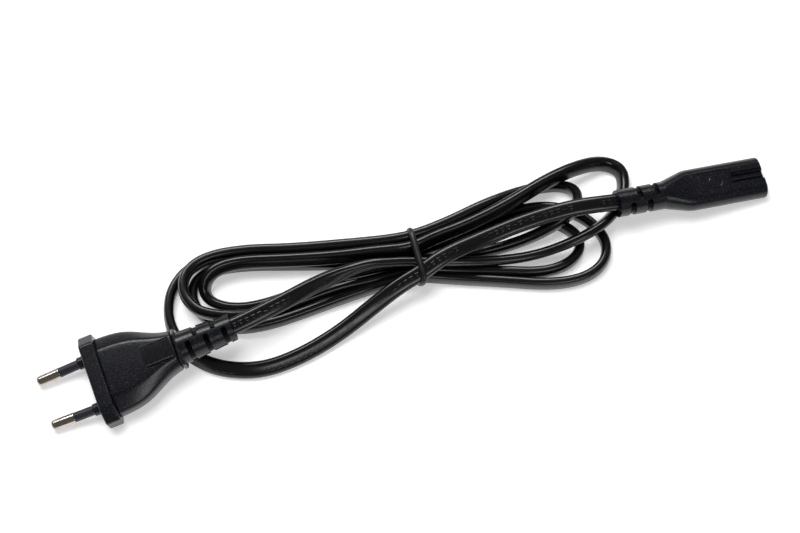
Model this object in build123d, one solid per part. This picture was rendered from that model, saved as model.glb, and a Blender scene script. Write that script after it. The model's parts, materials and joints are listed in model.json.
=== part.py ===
"""Two-core power cord: a flat two-pin mains plug, a flat twin cord tied in a loose hank,
and a figure-8 appliance connector, as they lie on a table. Millimetres, +Z up.

The row frame has its origin under the middle of the whole cord, on the table, and +X runs
from the plug to the connector. The plug and the connector are each built in a frame of
their own: origin at the middle of the front face, +X towards the cord, +Y across the wide
way, +Z through the thin way. They are tipped up at the back, because each strain relief
lies over a strand of the hank.
"""
import math
import os

from build123d import *

os.makedirs("parts", exist_ok=True)

# Flat twin cord
CORD_WIDTH = 6.2
CORD_THICKNESS = 3.8
CORE_DIAMETER = 2.4
CORE_SPACING = 2.6
COPPER_DIAMETER = 1.1
WIRE_BARE = 0.4

# Soft and hidden round things are drawn with a few flats
END_FLATS = 4
ROUND_FLATS = 6
TAPER_FLATS = 10
RELIEF_FLATS = 20

# Two-pin plug: pins
PIN_SPACING = 18.6
PIN_TIP_SPACING = 17.5
PIN_LENGTH = 19.0
PIN_DIAMETER = 4.0
PIN_BARE_LENGTH = 8.8
PIN_TIP_ROUND = 1.1
PIN_NECK_DIAMETER = 2.8
SLEEVE_DIAMETER = 3.6
SLEEVE_ROOT_DEPTH = 4.0
COLLAR_DIAMETER = 4.6
COLLAR_LENGTH = 3.0
PIN_ROOT_DEPTH = 10.0
CRIMP_DIAMETER = 3.2
CRIMP_LENGTH = 5.0

# Two-pin plug: moulding
FLANGE_WIDTH = 34.6
FLANGE_THICKNESS = 13.7
FLANGE_CHAMFER = 4.6
FLANGE_DEPTH = 5.6
FLANGE_EDGE = 0.5
NECK_X = 32.6
LIP_LENGTH = 1.7
LIP_RISE = 0.7
RELIEF_START_DIAMETER = 12.2
RELIEF_END_DIAMETER = 9.8
RELIEF_LENGTH = 19.7
RELIEF_SLOT_WIDTH = 1.8
RELIEF_SLOT_PITCH = 6.8
RELIEF_SLOT_MARGIN = 2.9
RELIEF_WALL = 0.9
RELIEF_BRIDGE = 0.6
GRIP_START_X = 20.8
GRIP_LENGTH = 10.8
GRIP_WIDTH = 7.4
GRIP_DEPTH = 0.5
GRIP_RIBS = 13
GRIP_RIB_WIDTH = 0.42
PLUG_JACKET_X = 37.0

# Inner bridge of the plug
BRIDGE_START_X = 1.4
BRIDGE_LENGTH = 9.0
BRIDGE_WALL = 0.9
BRIDGE_WIDTH = PIN_SPACING + SLEEVE_DIAMETER + 2 * BRIDGE_WALL
BRIDGE_EDGE = 1.5
BRIDGE_THICKNESS = 6.4

# Figure-8 connector
NOSE_WIDTH = 15.2
NOSE_THICKNESS = 7.8
NOSE_LENGTH = 28.6
NOSE_EDGE = 0.6
TAPER_LENGTH = 9.2
TAPER_TOP = 0.2
TAIL_DIAMETER = 10.2
TAIL_LENGTH = 17.6
TAIL_SLOT_WIDTH = 2.4
TAIL_SLOT_PITCH = 6.6
TAIL_SLOT_MARGIN = 4.8
CHANNEL_WIDTH = 3.2
CHANNEL_DEPTH = 1.5
CHANNEL_LENGTH = 13.8
CHANNEL_LEDGE_WIDTH = 1.1
CHANNEL_LEDGE_DEPTH = 0.9
PANEL_START_X = 14.6
PANEL_LENGTH = 12.6
PANEL_WIDTH = 8.4
PANEL_DEPTH = 0.35
SOCKET_SPACING = 8.6
SOCKET_MOUTH_DIAMETER = 2.9
SOCKET_MOUTH_DEPTH = 1.6
SOCKET_BORE_DIAMETER = 2.5
SOCKET_BORE_LENGTH = 11.0
CONTACT_DIAMETER = 3.6
CONTACT_END_LENGTH = 2.0
CONTACT_CRIMP_DIAMETER = 2.8
CONTACT_CRIMP_LENGTH = 4.0
INSERT_WIDTH = 12.8
INSERT_THICKNESS = 4.6
CONNECTOR_JACKET_X = 38.0

# Tie
BAND_DIAMETER = 1.8
BAND_X = 5.0
BAND_TURN = -10.0
BAND_CORNER = 4.5
BAND_CLEARANCE = 0.2
BUNDLE_LOW_Y = -10.1
BUNDLE_HIGH_Y = 10.2

# The hank's solid: strands side by side are drawn a little wide so that they join, and the
# strands over them reach a little way in
STRAND_FILL = 0.2
OVER_SEAT = 3.2

# How the plug and the connector lie
PLUG_X = -119.3
PLUG_Y = -7.4
PLUG_TURN = 1.0
PLUG_TILT = 10.0
CONNECTOR_X = 137.6
CONNECTOR_Y = -10.0
CONNECTOR_TURN = 174.5
CONNECTOR_TILT = 10.0

# Strand heights: on its edge on the table, and on top of another strand at the tie
LOW = CORD_WIDTH / 2
TIE_LOW = LOW + BAND_DIAMETER
TIE_HIGH = TIE_LOW + CORD_WIDTH

PLUG_PLACE = (
    Pos(PLUG_X, PLUG_Y, FLANGE_THICKNESS / 2 * math.cos(math.radians(PLUG_TILT)))
    * Rot(0, 0, PLUG_TURN)
    * Rot(0, -PLUG_TILT, 0)
)
CONNECTOR_PLACE = (
    Pos(CONNECTOR_X, CONNECTOR_Y, NOSE_THICKNESS / 2 * math.cos(math.radians(CONNECTOR_TILT)))
    * Rot(0, 0, CONNECTOR_TURN)
    * Rot(0, -CONNECTOR_TILT, 0)
)

# The cord's route, from the plug to the connector. Each loop runs from one place in the
# tie to the next, and every left loop is wound from its far side round to its near side.
PLUG_LEAD = [(-48.5, -4.0, 16.8), (-31.0, 0.8, 13.2), (-14.5, 2.5, 11.2)]
RIGHT_1 = [
    (-2.5, 0.0, 11.2), (6.0, -2.6, TIE_HIGH), (18.5, -6.5, 9.8), (32.5, -9.5, 5.5),
    (47.5, -12.0, 4.4), (62.5, -13.5, 10.2), (75.0, -10.5, 10.0), (83.5, -3.5, 4.4),
    (88.5, 4.5, LOW), (90.0, 11.5, LOW), (85.0, 16.5, 3.6), (76.0, 16.5, 8.0), (61.5, 12.5, 10.8),
    (43.0, 8.0, 9.8), (26.5, 5.6, 9.6), (14.0, 4.8, 10.4),
]
LEFT_3 = [
    (4.5, 3.4, TIE_HIGH), (-7.0, 6.5, 10.4), (-22.0, 9.6, 9.4), (-40.0, 14.5, 9.4),
    (-54.5, 19.0, 9.4), (-63.5, 19.8, 9.4), (-69.0, 17.8, 8.2), (-71.3, 14.0, 4.2),
    (-69.5, 9.5, LOW), (-62.5, 5.0, LOW), (-53.0, 3.2, LOW), (-39.5, 3.4, LOW), (-24.5, 4.6, LOW),
    (-9.5, 2.8, 3.4),
]
RIGHT_2 = [
    (5.0, -0.5, TIE_LOW), (20.0, -3.0, LOW), (35.0, -4.5, LOW), (49.0, -5.0, 5.0),
    (60.0, -4.5, 9.8), (67.5, -1.5, 10.2), (70.5, 5.0, 7.0), (68.5, 11.5, 3.6), (62.0, 15.0, LOW),
    (50.5, 14.5, 5.0), (35.5, 11.5, 9.4), (20.5, 9.3, 9.8),
]
LEFT_2 = [
    (6.5, 8.2, TIE_HIGH), (-4.0, 10.0, 10.4), (-19.5, 13.5, 9.6), (-37.0, 18.0, 9.4),
    (-52.5, 23.0, 9.4), (-66.0, 25.0, 9.4), (-75.0, 22.5, 9.4), (-79.0, 15.5, 9.4),
    (-77.5, 8.0, 9.6), (-72.5, 3.0, 9.8), (-63.0, -0.5, 8.5), (-52.0, -1.2, 4.5),
    (-39.5, -0.7, LOW), (-25.0, 0.2, LOW), (-11.0, -1.5, 3.4),
]
RIGHT_4 = [
    (4.5, -4.4, TIE_LOW), (17.5, -9.2, LOW), (33.0, -14.0, LOW), (47.0, -18.5, LOW),
    (57.0, -19.0, LOW), (64.0, -15.5, LOW), (65.5, -9.5, LOW), (61.5, -3.5, LOW), (55.5, 1.5, LOW),
    (45.0, 3.8, LOW), (31.5, 3.4, LOW), (19.0, 3.8, 3.3),
]
LEFT_4 = [
    (6.0, 3.7, TIE_LOW), (-7.0, 5.6, 3.3), (-23.0, 9.6, LOW), (-39.0, 15.0, LOW),
    (-53.0, 19.8, LOW), (-64.5, 22.0, LOW), (-73.0, 20.0, LOW), (-76.3, 13.5, LOW),
    (-75.0, 7.0, LOW), (-71.0, 1.0, LOW), (-64.0, -3.0, LOW), (-52.5, -5.0, LOW),
    (-38.5, -4.8, LOW), (-23.5, -4.5, LOW), (-9.5, -5.4, 3.3),
]
RIGHT_3 = [
    (4.0, -8.2, TIE_LOW), (16.5, -12.8, LOW), (33.5, -18.7, LOW), (49.0, -24.0, LOW),
    (61.5, -26.0, LOW), (70.5, -23.0, LOW), (74.5, -16.0, LOW), (73.0, -8.0, LOW),
    (68.0, -0.5, LOW), (59.0, 5.5, LOW), (46.0, 7.9, LOW), (32.0, 7.3, LOW), (18.5, 7.4, 3.3),
]
LEFT_1 = [
    (5.5, 7.6, TIE_LOW), (-8.0, 9.6, 3.3), (-25.0, 14.0, LOW), (-42.0, 20.5, LOW),
    (-58.5, 25.8, LOW), (-72.5, 26.2, LOW), (-82.0, 20.0, LOW), (-86.5, 10.5, LOW),
    (-86.5, 0.5, LOW), (-82.0, -9.0, LOW), (-73.0, -16.5, LOW), (-60.5, -21.0, LOW),
    (-46.0, -20.5, LOW), (-30.0, -16.5, 3.8), (-15.0, -11.5, 8.0), (-4.5, -8.5, 11.0),
]
CONNECTOR_LEAD = [
    (5.0, -6.7, 12.5), (15.0, -4.0, 14.6), (31.5, -2.0, 11.6), (48.0, -1.0, 12.4),
    (65.5, -2.6, 15.2),
]

LOOPS = [RIGHT_1, LEFT_3, RIGHT_2, LEFT_2, RIGHT_4, LEFT_4, RIGHT_3, LEFT_1]

# The four strands that pass over the others at the tie, by the points where they lie there
OVER_STRANDS = [
    PLUG_LEAD[-1:] + RIGHT_1[:3],
    RIGHT_1[-4:] + LEFT_3[:6],
    RIGHT_2[-3:] + LEFT_2[:9],
    LEFT_1[-2:] + CONNECTOR_LEAD[:2],
]


def route_radii(points):
    """The largest even arc at each corner: 0.45 of the shorter run over the half turn."""
    radii = []
    for before, here, after in zip(points, points[1:], points[2:]):
        run_in = Vector(*here) - Vector(*before)
        run_out = Vector(*after) - Vector(*here)
        half_turn = math.radians(run_in.get_angle(run_out)) / 2
        radii.append(0.45 * min(run_in.length, run_out.length) / math.tan(half_turn))
    return radii


def rounded_route(points):
    """Straight runs joined by tangent arcs through a list of points."""
    return FilletPolyline(*points, radius=route_radii(points))


def flat_oval(width, thickness, flats):
    """A flat oval, wide way along x, with each round end drawn in some flats."""
    reach = (width - thickness) / 2
    corners = []
    for side in (1, -1):
        for step in range(flats + 1):
            turn = math.pi * (step / flats - 0.5)
            corners.append(
                (side * (reach + thickness / 2 * math.cos(turn)), side * thickness / 2 * math.sin(turn))
            )
    return make_face(Polyline(*corners, close=True))


def cord_section():
    """The flat cord's section, wide way along the section's own x, its ends in short flats."""
    return flat_oval(CORD_WIDTH, CORD_THICKNESS, END_FLATS)


def relief_slots(end_x, count, margin, pitch, width, first_side, outer_radius):
    """Slots that cut a strain relief from alternate sides, counted from its cord end."""
    core = Plane.YZ * flat_oval(CORD_WIDTH + 2 * RELIEF_WALL, CORD_THICKNESS + 2 * RELIEF_WALL, END_FLATS)
    slots = Part()
    for index in range(count):
        side = first_side if index % 2 == 0 else -first_side
        cut = Pos(0, side * (RELIEF_BRIDGE + outer_radius), 0) * Box(width, 2 * outer_radius, 2 * outer_radius)
        cut -= extrude(core, amount=width / 2, both=True)
        slots += Pos(end_x - margin - index * pitch / 2, 0, 0) * cut
    return slots


def core_path(start, end_x, side):
    """The middle line of one core, from its crimp to where the jacket begins."""
    span = end_x - start.X
    far = side * CORE_SPACING / 2
    points = [
        (start.X, start.Y, 0),
        (start.X + 0.3 * span, start.Y, 0),
        (end_x - 0.25 * span, far, 0),
        (end_x, far, 0),
    ]
    return FilletPolyline(*points, radius=0.2 * span)


def round_sweep(path, diameter):
    """A round bar along a path, drawn with a few flats."""
    start = Plane(origin=path @ 0, z_dir=path % 0)
    return sweep(start * RegularPolygon(diameter / 2, ROUND_FLATS), path=path)


def inner_bar(start_x, length, diameter):
    """A hidden round bar along X, drawn with a few flats."""
    return extrude(Plane.YZ.offset(start_x) * RegularPolygon(diameter / 2, ROUND_FLATS), amount=length)


def plug_pin():
    """One pin along X with its tip at -PIN_LENGTH and a crimp barrel at the other end."""
    bare_x = PIN_BARE_LENGTH - PIN_LENGTH
    bare = Cylinder(PIN_DIAMETER / 2, PIN_BARE_LENGTH, rotation=(0, 90, 0))
    bare = chamfer(bare.edges().group_by(Axis.X)[0], PIN_TIP_ROUND)
    neck = inner_bar(bare_x, PIN_ROOT_DEPTH - bare_x, PIN_NECK_DIAMETER)
    crimp = inner_bar(PIN_ROOT_DEPTH, CRIMP_LENGTH, CRIMP_DIAMETER)
    bore = inner_bar(PIN_ROOT_DEPTH + CRIMP_LENGTH / 2, CRIMP_LENGTH, COPPER_DIAMETER)
    return Pos(bare_x - PIN_BARE_LENGTH / 2, 0, 0) * bare + neck + crimp - bore


def pin_sleeve():
    """The insulating sleeve over a pin, from the bare end of the pin into the bridge."""
    start = PIN_BARE_LENGTH - PIN_LENGTH
    length = SLEEVE_ROOT_DEPTH - start
    outer = Pos(start + length / 2, 0, 0) * Cylinder(SLEEVE_DIAMETER / 2, length, rotation=(0, 90, 0))
    return outer - inner_bar(start, length, PIN_NECK_DIAMETER)


def pin_places():
    """Where the two pins stand in the plug: they lean a little towards each other."""
    lean = math.degrees(math.asin((PIN_SPACING - PIN_TIP_SPACING) / 2 / PIN_LENGTH))
    return [Pos(0, side * PIN_SPACING / 2, 0) * Rot(0, 0, side * lean) for side in (-1, 1)]


def octagon(x, half_width, half_thickness, top_half, side_half):
    """An eight-sided section across X: flat top and bottom, low upright ends, sloped sides."""
    corners = [
        (half_width, -side_half), (half_width, side_half), (top_half, half_thickness),
        (-top_half, half_thickness), (-half_width, side_half), (-half_width, -side_half),
        (-top_half, -half_thickness), (top_half, -half_thickness),
    ]
    return Plane.YZ.offset(x) * make_face(Polyline(*corners, close=True))


def plug_shell():
    """The outside of the plug's moulding, without its pins' holes."""
    flange = extrude(
        octagon(0, FLANGE_WIDTH / 2, FLANGE_THICKNESS / 2, FLANGE_WIDTH / 2 - FLANGE_CHAMFER,
                FLANGE_THICKNESS / 2 - FLANGE_CHAMFER),
        amount=FLANGE_DEPTH,
    )
    rims = flange.edges().filter_by(GeomType.LINE).filter_by(lambda edge: abs(edge.tangent_at(0).X) < 0.5)
    flange = chamfer(rims, FLANGE_EDGE)
    stations = [
        (FLANGE_DEPTH - FLANGE_EDGE, 14.8, 6.1, 8.6, 2.3),
        (8.5, 14.8, 6.1, 8.8, 2.3),
        (11.5, 14.5, 6.1, 8.8, 2.3),
        (14.5, 14.0, 6.05, 8.8, 2.3),
        (17.0, 13.3, 6.0, 8.6, 2.3),
        (19.5, 12.3, 5.95, 8.1, 2.35),
        (22.0, 11.1, 5.9, 7.4, 2.4),
        (24.5, 9.8, 5.85, 6.4, 2.5),
        (27.0, 8.7, 5.8, 5.5, 2.6),
        (29.8, 7.6, 5.8, 4.7, 2.75),
        (NECK_X, 7.0, 5.8, 4.3, 2.9),
    ]
    bell = loft([octagon(*station) for station in stations], ruled=True)
    lip_station = (stations[-1][1] + LIP_RISE, stations[-1][2] + LIP_RISE / 2, stations[-1][3], stations[-1][4])
    lip = extrude(octagon(NECK_X, *lip_station), amount=LIP_LENGTH)
    relief_x = NECK_X + LIP_LENGTH
    relief = loft(
        [
            Plane.YZ.offset(relief_x) * RegularPolygon(RELIEF_START_DIAMETER / 2, RELIEF_FLATS),
            Plane.YZ.offset(relief_x + RELIEF_LENGTH) * RegularPolygon(RELIEF_END_DIAMETER / 2, RELIEF_FLATS),
        ],
        ruled=True,
    )
    slots = relief_slots(
        relief_x + RELIEF_LENGTH, 5, RELIEF_SLOT_MARGIN, RELIEF_SLOT_PITCH, RELIEF_SLOT_WIDTH, -1,
        RELIEF_START_DIAMETER,
    )
    collars = Part()
    for place in pin_places():
        collars += place * Pos(-COLLAR_LENGTH / 2, 0, 0) * Cylinder(
            COLLAR_DIAMETER / 2, COLLAR_LENGTH + 2 * FLANGE_EDGE, rotation=(0, 90, 0)
        )
    shell = flange + bell + lip + (relief - slots) + collars
    return shell - grip_grooves(stations[-1][2])


def grip_grooves(half_thickness):
    """What is cut from the top and the bottom panel to leave the fine cross ribs."""
    pocket = Box(GRIP_LENGTH, GRIP_WIDTH, 2 * GRIP_DEPTH)
    pitch = GRIP_LENGTH / (GRIP_RIBS + 1)
    for index in range(GRIP_RIBS):
        x = (index + 1) * pitch - GRIP_LENGTH / 2
        pocket -= Pos(x, 0, 0) * Box(GRIP_RIB_WIDTH, GRIP_WIDTH, 2 * GRIP_DEPTH)
    x = GRIP_START_X + GRIP_LENGTH / 2
    return Pos(x, 0, half_thickness) * pocket + Pos(x, 0, -half_thickness) * pocket


def plug_bridge():
    """The hard bridge inside the plug that holds the two pins at their spacing."""
    block = Box(BRIDGE_LENGTH, BRIDGE_WIDTH, BRIDGE_THICKNESS)
    block = chamfer(block.edges().filter_by(Axis.X), BRIDGE_EDGE)
    return Pos(BRIDGE_START_X + BRIDGE_LENGTH / 2, 0, 0) * block


def nose_section():
    """The connector's section across X, wide way along Y."""
    return Plane.YZ * SlotOverall(NOSE_WIDTH, NOSE_THICKNESS)


def connector_shell():
    """The outside of the connector's moulding, without its sockets."""
    nose = extrude(nose_section(), amount=NOSE_LENGTH)
    front = nose.edges().group_by(Axis.X)[0]
    nose = chamfer(front, NOSE_EDGE)
    tail_x = NOSE_LENGTH + TAPER_LENGTH
    taper = loft(
        [
            Plane.YZ.offset(NOSE_LENGTH) * flat_oval(NOSE_WIDTH, NOSE_THICKNESS, TAPER_FLATS),
            Plane.YZ.offset(tail_x) * flat_oval(TAIL_DIAMETER + TAPER_TOP, TAIL_DIAMETER, TAPER_FLATS),
        ],
        ruled=True,
    )
    tail = extrude(Plane.YZ.offset(tail_x) * RegularPolygon(TAIL_DIAMETER / 2, RELIEF_FLATS), amount=TAIL_LENGTH)
    slots = relief_slots(
        tail_x + TAIL_LENGTH, 4, TAIL_SLOT_MARGIN, TAIL_SLOT_PITCH, TAIL_SLOT_WIDTH, 1, TAIL_DIAMETER
    )
    shell = nose + taper + (tail - slots)
    for face in (1, -1):
        level = face * NOSE_THICKNESS / 2
        channel = Pos(CHANNEL_LENGTH / 2, 0, level) * Box(CHANNEL_LENGTH, CHANNEL_WIDTH, 2 * CHANNEL_DEPTH)
        ledge_y = CHANNEL_WIDTH / 2 - CHANNEL_LEDGE_WIDTH / 2
        ledge = Pos(CHANNEL_LENGTH / 2, -ledge_y, level - face * CHANNEL_LEDGE_DEPTH * 1.5) * Box(
            CHANNEL_LENGTH, CHANNEL_LEDGE_WIDTH, CHANNEL_LEDGE_DEPTH
        )
        panel = Pos(PANEL_START_X + PANEL_LENGTH / 2, 0, level) * Box(PANEL_LENGTH, PANEL_WIDTH, 2 * PANEL_DEPTH)
        shell = shell - (channel - ledge) - panel
    return shell


def connector_contact():
    """One socket contact along X: a bored tube, a closed end and a crimp barrel."""
    tube_length = SOCKET_BORE_LENGTH + CONTACT_END_LENGTH
    tube = inner_bar(SOCKET_MOUTH_DEPTH, tube_length, CONTACT_DIAMETER)
    bore = Pos(SOCKET_MOUTH_DEPTH + SOCKET_BORE_LENGTH / 2, 0, 0) * Cylinder(
        SOCKET_BORE_DIAMETER / 2, SOCKET_BORE_LENGTH, rotation=(0, 90, 0)
    )
    crimp_x = SOCKET_MOUTH_DEPTH + tube_length
    crimp = inner_bar(crimp_x, CONTACT_CRIMP_LENGTH, CONTACT_CRIMP_DIAMETER)
    wire_hole = inner_bar(crimp_x, CONTACT_CRIMP_LENGTH, COPPER_DIAMETER)
    return tube - bore + (crimp - wire_hole)


def connector_insert():
    """The hard block that carries the two contacts, flush with the connector's front."""
    length = SOCKET_MOUTH_DEPTH + SOCKET_BORE_LENGTH + CONTACT_END_LENGTH
    return extrude(Plane.YZ * SlotOverall(INSERT_WIDTH, INSERT_THICKNESS), amount=length)


def socket_places():
    """The two sockets' axes in the connector."""
    return [Pos(0, side * SOCKET_SPACING / 2, 0) for side in (-1, 1)]


def ribbon(edges, width):
    """A strand's flat outline along some edges, each arc drawn in two flats."""
    left, right = [], []
    for number, edge in enumerate(edges):
        places = [0, 1] if edge.geom_type == GeomType.LINE else [0, 0.5, 1]
        for place in places[1:] if number else places:
            across = (edge % place).rotate(Axis.Z, 90) * (width / 2)
            left.append(edge @ place + across)
            right.append(edge @ place - across)
    return make_face(Polyline(*left, *reversed(right), close=True))


def strand_outline(stretches, width):
    """The flat outline of some strands seen from above."""
    outline = Sketch()
    for points in stretches:
        edges = rounded_route([(x, y) for x, y, _ in points]).edges()
        middle = len(edges) // 2
        outline += ribbon(edges[:middle], width)
        outline += ribbon(edges[middle:], width)
    return outline


def band_plane():
    """The upright plane that the tie lies in."""
    return Plane(origin=(BAND_X, 0, 0), x_dir=Vector(0, 1, 0).rotate(Axis.Z, BAND_TURN),
                 z_dir=Vector(1, 0, 0).rotate(Axis.Z, BAND_TURN))


def bundle_outline(grow):
    """The rounded outline of the strands under the tie, grown by some width."""
    width = BUNDLE_HIGH_Y - BUNDLE_LOW_Y + 2 * grow
    height = 2 * CORD_WIDTH + 2 * grow
    middle_y = (BUNDLE_HIGH_Y + BUNDLE_LOW_Y) / 2
    middle_z = BAND_DIAMETER + CORD_WIDTH
    return band_plane() * Pos(middle_y, middle_z) * RectangleRounded(width, height, BAND_CORNER + grow)


def tie_band():
    """The round elastic band about the strands."""
    path = bundle_outline(BAND_DIAMETER / 2).wire()
    start = Plane(origin=path @ 0, z_dir=path % 0)
    return sweep(start * RegularPolygon(BAND_DIAMETER / 2, ROUND_FLATS), path=path)


def hank():
    """The outer shape of the hank: its eight loops, and the strands over them at the tie."""
    route = [PLUG_LEAD[-1:]] + LOOPS + [CONNECTOR_LEAD[:2]]
    loops = [before[-1:] + loop + after[:2] for before, loop, after in zip(route, route[1:], route[2:])]
    floor_strands = extrude(strand_outline(loops, CORD_THICKNESS + STRAND_FILL), amount=CORD_WIDTH)
    over_height = CORD_WIDTH + OVER_SEAT + BAND_DIAMETER
    over_strands = extrude(strand_outline(OVER_STRANDS, CORD_THICKNESS), amount=over_height)
    shape = floor_strands + Pos(0, 0, CORD_WIDTH - OVER_SEAT) * over_strands
    half_slot = BAND_DIAMETER / 2 + BAND_CLEARANCE
    around = extrude(bundle_outline(3 * BAND_DIAMETER + CORD_WIDTH), amount=half_slot, both=True)
    inside = extrude(bundle_outline(0), amount=half_slot, both=True)
    return shape - (around - inside)


def flat_lead(place, inner_x, gland_x, points):
    """A free run of the cord, flat side up, from inside a moulding to the hank."""
    inner = (place * Pos(inner_x, 0, 0)).position
    gland = (place * Pos(gland_x, 0, 0)).position
    path = rounded_route([tuple(inner), tuple(gland)] + points)
    start = Plane(origin=path @ 0, x_dir=Vector(0, 1, 0), z_dir=path % 0)
    return sweep(start * cord_section(), path=path)


def print_radii(name, points):
    """Print the arc radii of one stretch of the route."""
    radii = ", ".join(f"{radius:.0f}" for radius in route_radii(points))
    print(f"{name}: {radii}")


def save(name, shape):
    """Write one piece under its node's name."""
    export_step(shape, f"parts/{name}.step")
    print(f"{name}: {shape.volume:.0f} mm3")


def make_plug():
    """The plug's pieces, in the row frame."""
    pieces = {}
    hollow = Part()
    for number, (place, side) in enumerate(zip(pin_places(), (-1, 1)), start=1):
        wire_x = PIN_ROOT_DEPTH + CRIMP_LENGTH / 2
        core_x = PIN_ROOT_DEPTH + CRIMP_LENGTH + WIRE_BARE
        pin = place * plug_pin()
        sleeve = place * pin_sleeve()
        copper = place * inner_bar(wire_x, core_x - wire_x, COPPER_DIAMETER)
        core_start = (place * Pos(core_x, 0, 0)).position
        core = round_sweep(core_path(core_start, PLUG_JACKET_X, side), CORE_DIAMETER)
        pieces[f"plug_pin_{number}"] = pin
        pieces[f"pin_sleeve_{number}"] = sleeve
        pieces[f"plug_copper_{number}"] = copper - core
        pieces[f"plug_core_{number}"] = core
    for piece in pieces.values():
        hollow += piece
    pieces["plug_bridge"] = plug_bridge() - hollow
    pieces["plug_body"] = plug_shell() - hollow - plug_bridge()
    return {name: PLUG_PLACE * piece for name, piece in pieces.items()}


def make_connector():
    """The connector's pieces, in the row frame."""
    pieces = {}
    hollow = Part()
    for number, (place, side) in enumerate(zip(socket_places(), (-1, 1)), start=1):
        crimp_x = SOCKET_MOUTH_DEPTH + SOCKET_BORE_LENGTH + CONTACT_END_LENGTH
        core_x = crimp_x + CONTACT_CRIMP_LENGTH + WIRE_BARE
        contact = place * connector_contact()
        copper = place * inner_bar(crimp_x, core_x - crimp_x, COPPER_DIAMETER)
        core_start = (place * Pos(core_x, 0, 0)).position
        core = round_sweep(core_path(core_start, CONNECTOR_JACKET_X, side), CORE_DIAMETER)
        pieces[f"connector_contact_{number}"] = contact
        pieces[f"connector_copper_{number}"] = copper
        pieces[f"connector_core_{number}"] = core
    mouths = Part()
    for place in socket_places():
        mouths += place * Pos(SOCKET_MOUTH_DEPTH / 2, 0, 0) * Cylinder(
            SOCKET_MOUTH_DIAMETER / 2, SOCKET_MOUTH_DEPTH, rotation=(0, 90, 0)
        )
        mouths += place * Pos(SOCKET_MOUTH_DEPTH + SOCKET_BORE_LENGTH / 2, 0, 0) * Cylinder(
            SOCKET_BORE_DIAMETER / 2, SOCKET_BORE_LENGTH, rotation=(0, 90, 0)
        )
    for piece in pieces.values():
        hollow += piece
    pieces["connector_insert"] = connector_insert() - hollow - mouths
    pieces["connector_body"] = connector_shell() - hollow - connector_insert()
    return {name: CONNECTOR_PLACE * piece for name, piece in pieces.items()}


def main():
    """Make every piece and write it."""
    pieces = make_plug()
    pieces.update(make_connector())
    coil = hank()
    relief_end = NECK_X + LIP_LENGTH + RELIEF_LENGTH
    tail_end = NOSE_LENGTH + TAPER_LENGTH + TAIL_LENGTH
    plug_lead = flat_lead(PLUG_PLACE, PLUG_JACKET_X, relief_end, PLUG_LEAD)
    connector_lead = flat_lead(
        CONNECTOR_PLACE, CONNECTOR_JACKET_X, tail_end, list(reversed(CONNECTOR_LEAD[1:]))
    )
    pieces["plug_body"] -= plug_lead
    pieces["connector_body"] -= connector_lead
    pieces["cord_hank"] = coil
    pieces["cord_plug_lead"] = plug_lead - coil
    pieces["cord_connector_lead"] = connector_lead - coil
    pieces["tie_band"] = tie_band()
    for name, piece in pieces.items():
        save(name, piece)

    section = cord_section().area
    print(f"plug lead: {plug_lead.volume / section:.0f} mm of cord by volume")
    print(f"connector lead: {connector_lead.volume / section:.0f} mm of cord by volume")
    print_radii("plug lead", PLUG_LEAD)
    for points in LOOPS:
        print_radii("loop", points)
    print_radii("connector lead", CONNECTOR_LEAD)


main()
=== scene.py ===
"""A two-core power cord on a pale table: flat two-pin plug, flat twin cord in a tied hank,
and a figure-8 appliance connector. Metres, +Z up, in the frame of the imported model.
"""

import json
import logging
import math
from collections.abc import Callable
from dataclasses import dataclass, field
from enum import Enum

import bmesh
import bpy
from mathutils import Matrix, Vector


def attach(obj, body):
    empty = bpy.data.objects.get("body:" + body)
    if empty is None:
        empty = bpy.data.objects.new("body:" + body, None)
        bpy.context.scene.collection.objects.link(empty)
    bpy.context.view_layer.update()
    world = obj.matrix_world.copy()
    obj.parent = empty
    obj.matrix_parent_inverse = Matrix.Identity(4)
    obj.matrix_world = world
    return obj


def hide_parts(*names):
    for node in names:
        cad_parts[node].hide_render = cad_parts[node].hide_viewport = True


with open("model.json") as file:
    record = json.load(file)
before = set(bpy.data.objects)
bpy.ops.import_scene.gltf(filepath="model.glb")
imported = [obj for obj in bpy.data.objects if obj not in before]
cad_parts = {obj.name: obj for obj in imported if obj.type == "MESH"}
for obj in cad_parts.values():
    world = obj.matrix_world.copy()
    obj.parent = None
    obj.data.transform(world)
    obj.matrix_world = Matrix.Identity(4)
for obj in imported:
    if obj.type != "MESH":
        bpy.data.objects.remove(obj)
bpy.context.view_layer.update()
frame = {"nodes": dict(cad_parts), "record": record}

LOG = logging.getLogger("power_cord")
MM = 0.001
ROOT = "root"
HAIR = 1e-5  # metres within which two places count as one
SPECK = 1e-6  # the same, for places that are exact

Point = tuple[float, float, float]
Test = Callable[[Vector], bool]

CORD_WIDTH = 6.2 * MM
CORD_THICKNESS = 3.8 * MM


class Side(Enum):
    """How far a strand of the cord is rolled from lying flat, in degrees."""

    FLAT = 13.0
    LEANING = 38.0
    EDGE = 90.0
    OVER = 112.0


def deselect_all() -> None:
    """Leave nothing selected, so that an operator acts only on what follows."""
    for obj in bpy.context.selected_objects:
        obj.select_set(False)


def make_active(obj: bpy.types.Object) -> None:
    """Select one object and make it the active one.

    Args:
        obj: the object to work on.
    """
    deselect_all()
    obj.select_set(True)
    bpy.context.view_layer.objects.active = obj


def smooth_object(name: str, mesh: bmesh.types.BMesh, material: bpy.types.Material) -> bpy.types.Object:
    """Turn a mesh made in code into an object with smooth shading.

    Args:
        name: the object's name.
        mesh: the mesh, which is freed.
        material: its material.

    Returns:
        The new object, in the scene.
    """
    bmesh.ops.recalc_face_normals(mesh, faces=mesh.faces)
    data = bpy.data.meshes.new(name)
    mesh.to_mesh(data)
    mesh.free()
    for polygon in data.polygons:
        polygon.use_smooth = True
    obj = bpy.data.objects.new(name, data)
    bpy.context.scene.collection.objects.link(obj)
    data.materials.append(material)
    return obj


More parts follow.
